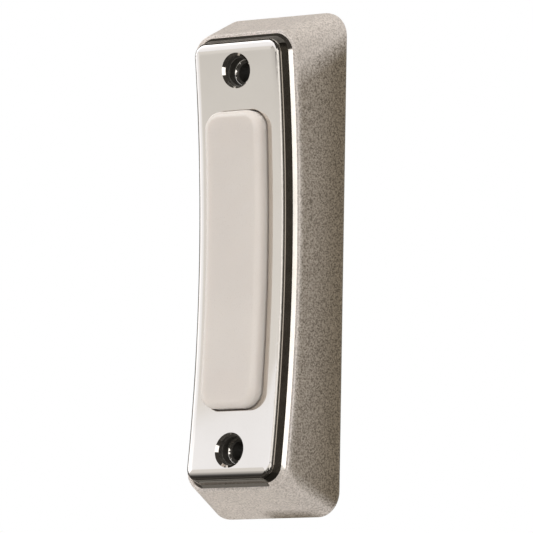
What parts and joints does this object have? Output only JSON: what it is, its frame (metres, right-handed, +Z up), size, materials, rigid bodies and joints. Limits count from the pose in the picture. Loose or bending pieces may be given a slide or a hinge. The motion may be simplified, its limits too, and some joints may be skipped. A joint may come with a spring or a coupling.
{
  "type": "doorbell push button",
  "caption": "Wall-mounted wired doorbell push button: cast housing with a concave polished front plate, blasted sloping sides, a long sprung push bar and a two-terminal switch behind it.",
  "frame": {"origin": "on the wall plane, midway between the two mounting screw holes", "axes": "+X to the right seen from the front, +Y into the wall, +Z up along the button's height"},
  "size_m": [0.0346, 0.0188, 0.11],
  "materials": {
    "nickel_casting": "nickel plate, mirror-polished front plate and bead-blasted sides",
    "ivory_plastic": "moulded, glossy",
    "insulating_board": "pressed board",
    "spring_bronze": "rolled strip",
    "brass": "stamped",
    "contact_silver": "satin",
    "plated_steel": "zinc plated",
    "spring_steel": "drawn wire"
  },
  "bodies": {
    "housing": {"housing": "nickel_casting", "switch_base": "insulating_board", "contact_leaf": "spring_bronze", "fixed_contact": "contact_silver", "fixed_contact_strip": "brass", "leaf_rivet_inner": "brass", "leaf_rivet_outer": "brass", "strip_rivet_inner": "brass", "strip_rivet_outer": "brass", "base_screw_upper": "plated_steel", "return_spring_upper": "spring_steel", "terminal_plate_upper": "brass", "clamp_washer_upper": "plated_steel", "terminal_screw_upper": "brass", "base_screw_lower": "plated_steel", "return_spring_lower": "spring_steel", "terminal_plate_lower": "brass", "clamp_washer_lower": "plated_steel", "terminal_screw_lower": "brass"},
    "push_bar": {"push_bar": "ivory_plastic"},
    "moving_contact": {"moving_contact": "contact_silver"}
  },
  "joints": [
    {"name": "bar_press", "type": "slide", "parent": "housing", "child": "push_bar", "axis": [0, 1, 0], "range_m": [0, 0.0015], "stiffness_N_per_m": 800, "springref_m": -0.002, "deforming": ["return_spring_upper", "return_spring_lower", "contact_leaf"]},
    {"name": "contact_close", "type": "slide", "parent": "housing", "child": "moving_contact", "axis": [0, 1, 0], "range_m": [0, 0.0012]}
  ],
  "couplings": [
    {"joint": "contact_close", "follows": "bar_press", "ratio": 0.76667}
  ]
}
